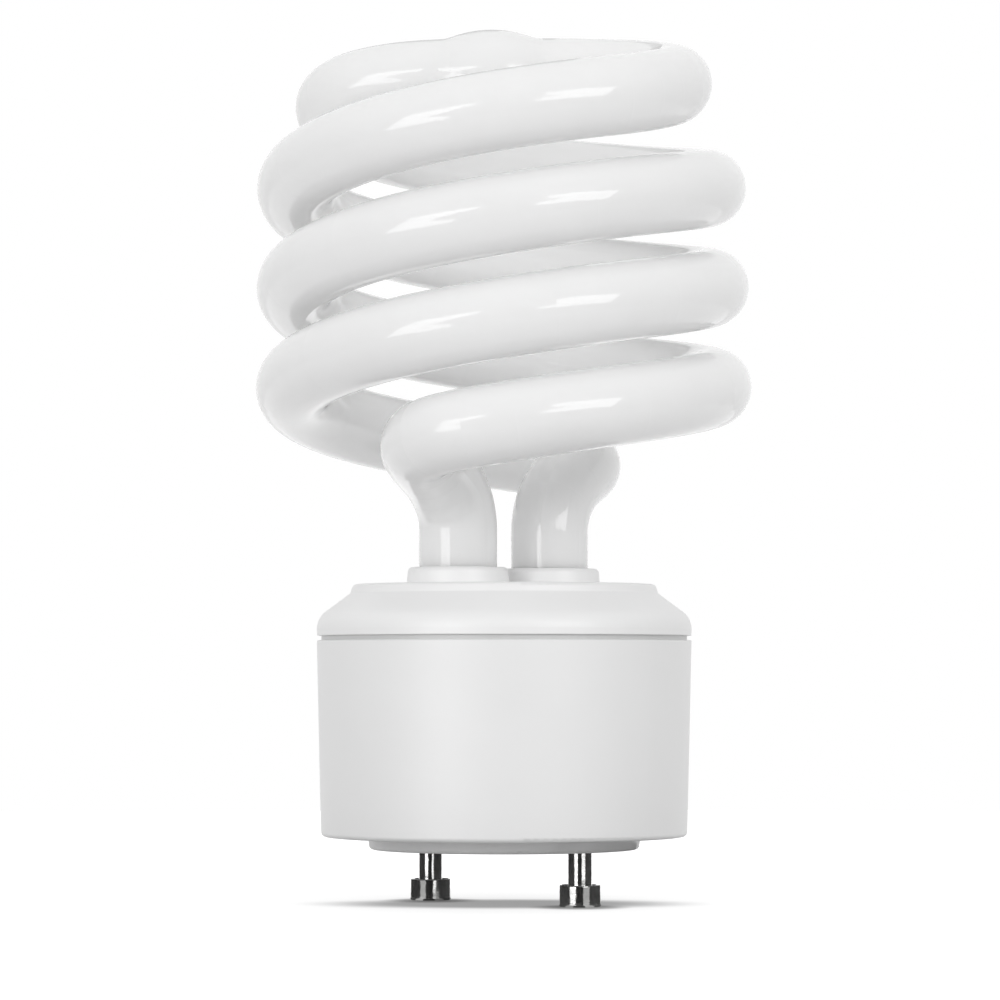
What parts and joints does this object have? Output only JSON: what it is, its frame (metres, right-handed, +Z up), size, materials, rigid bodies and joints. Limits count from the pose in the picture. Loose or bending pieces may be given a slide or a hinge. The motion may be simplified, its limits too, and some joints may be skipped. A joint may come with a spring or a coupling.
{
  "type": "spiral compact fluorescent lamp",
  "caption": "Compact fluorescent lamp: a milky glass tube bent into a double spiral with a bridge on top, in a white ballast housing with twist-and-lock contact pins.",
  "frame": {"origin": "midway between the ends of the two contact pins, at the foot of the lamp's axis", "axes": "+Z up the lamp's axis from the pins to the spiral, +X along the line of the two pins"},
  "size_m": [0.0607, 0.0604, 0.1068],
  "materials": {
    "milky_glass": "gloss, coated milky white inside",
    "white_plastic": "satin moulded",
    "plated_pin": "bright plated",
    "cement": "matt set cement",
    "board": "matt laminate",
    "black_sleeve": "gloss sleeve",
    "ferrite": "matt ferrite",
    "nylon": "matt moulded",
    "copper": "enamelled copper wire",
    "black_resin": "matt moulded resin",
    "green_resin": "gloss dipped resin",
    "brown_resin": "gloss dipped resin",
    "blue_resin": "gloss dipped resin",
    "beige_lacquer": "gloss lacquer",
    "tinned": "tinned wire",
    "white_jacket": "wire jacket"
  },
  "bodies": {
    "root": {"spiral_tube": "milky_glass", "top_cover": "white_plastic", "ballast_housing": "white_plastic", "contact_pin_a": "plated_pin", "contact_pin_b": "plated_pin", "tube_cement_a": "cement", "tube_cement_b": "cement", "circuit_board": "board", "filter_capacitor": "black_sleeve", "choke_core": "ferrite", "choke_bobbin": "nylon", "choke_winding": "copper", "drive_core": "ferrite", "drive_windings": "copper", "transistor_a": "black_resin", "transistor_b": "black_resin", "start_capacitor": "green_resin", "blocking_capacitor": "brown_resin", "snubber_capacitor": "blue_resin", "line_choke_core": "ferrite", "line_choke_winding": "copper", "fuse_resistor": "beige_lacquer", "diac": "blue_resin", "supply_lead_a": "white_jacket", "supply_lead_b": "white_jacket", "rectifier_diode_a": "black_resin", "resistor_a": "beige_lacquer", "wire_post_a": "tinned", "filament_lead_a": "tinned", "rectifier_diode_b": "black_resin", "resistor_b": "beige_lacquer", "wire_post_b": "tinned", "filament_lead_b": "tinned", "rectifier_diode_c": "black_resin", "resistor_c": "beige_lacquer", "wire_post_c": "tinned", "filament_lead_c": "tinned", "rectifier_diode_d": "black_resin", "resistor_d": "beige_lacquer", "wire_post_d": "tinned", "filament_lead_d": "tinned"}
  },
  "joints": []
}
